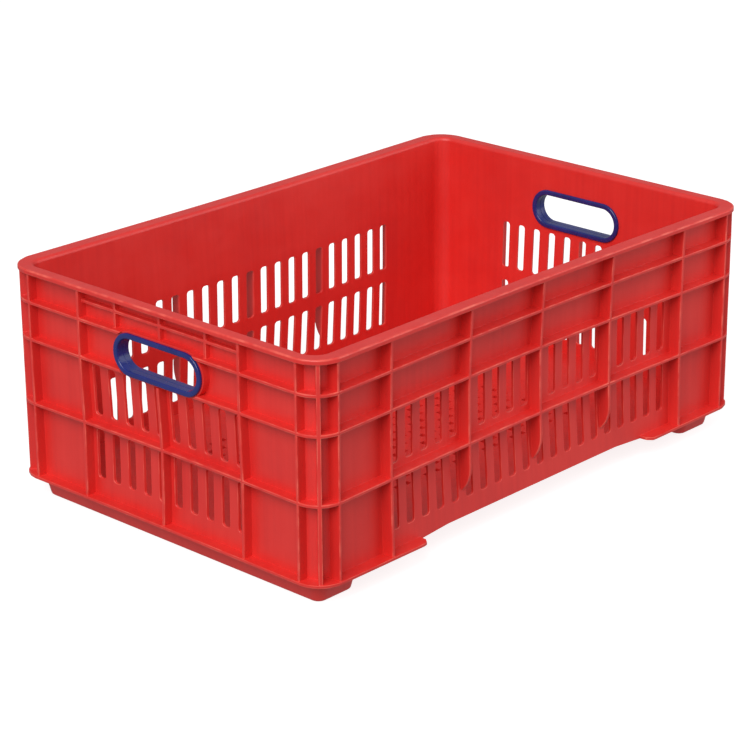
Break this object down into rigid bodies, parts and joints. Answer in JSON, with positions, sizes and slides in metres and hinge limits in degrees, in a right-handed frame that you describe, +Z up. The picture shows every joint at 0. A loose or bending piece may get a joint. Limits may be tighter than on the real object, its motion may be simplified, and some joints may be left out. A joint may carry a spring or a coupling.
{
  "type": "plastic crate",
  "caption": "Open-topped rectangular stacking crate with ribbed, slotted walls, a lattice floor, end plinths and a lined hand hole in each end wall.",
  "frame": {"origin": "on the ground, under the middle of the crate", "axes": "+X along the crate's length towards the rear grip, +Y across it, +Z up"},
  "size_m": [0.6, 0.4, 0.23],
  "materials": {
    "crate_plastic": "satin as-moulded polyethylene, light scuffs on the ribs and rim",
    "grip_plastic": "glossy moulded polypropylene"
  },
  "bodies": {
    "root": {"crate_body": "crate_plastic", "front_grip_outer": "grip_plastic", "front_grip_inner": "grip_plastic", "rear_grip_outer": "grip_plastic", "rear_grip_inner": "grip_plastic"}
  },
  "joints": []
}
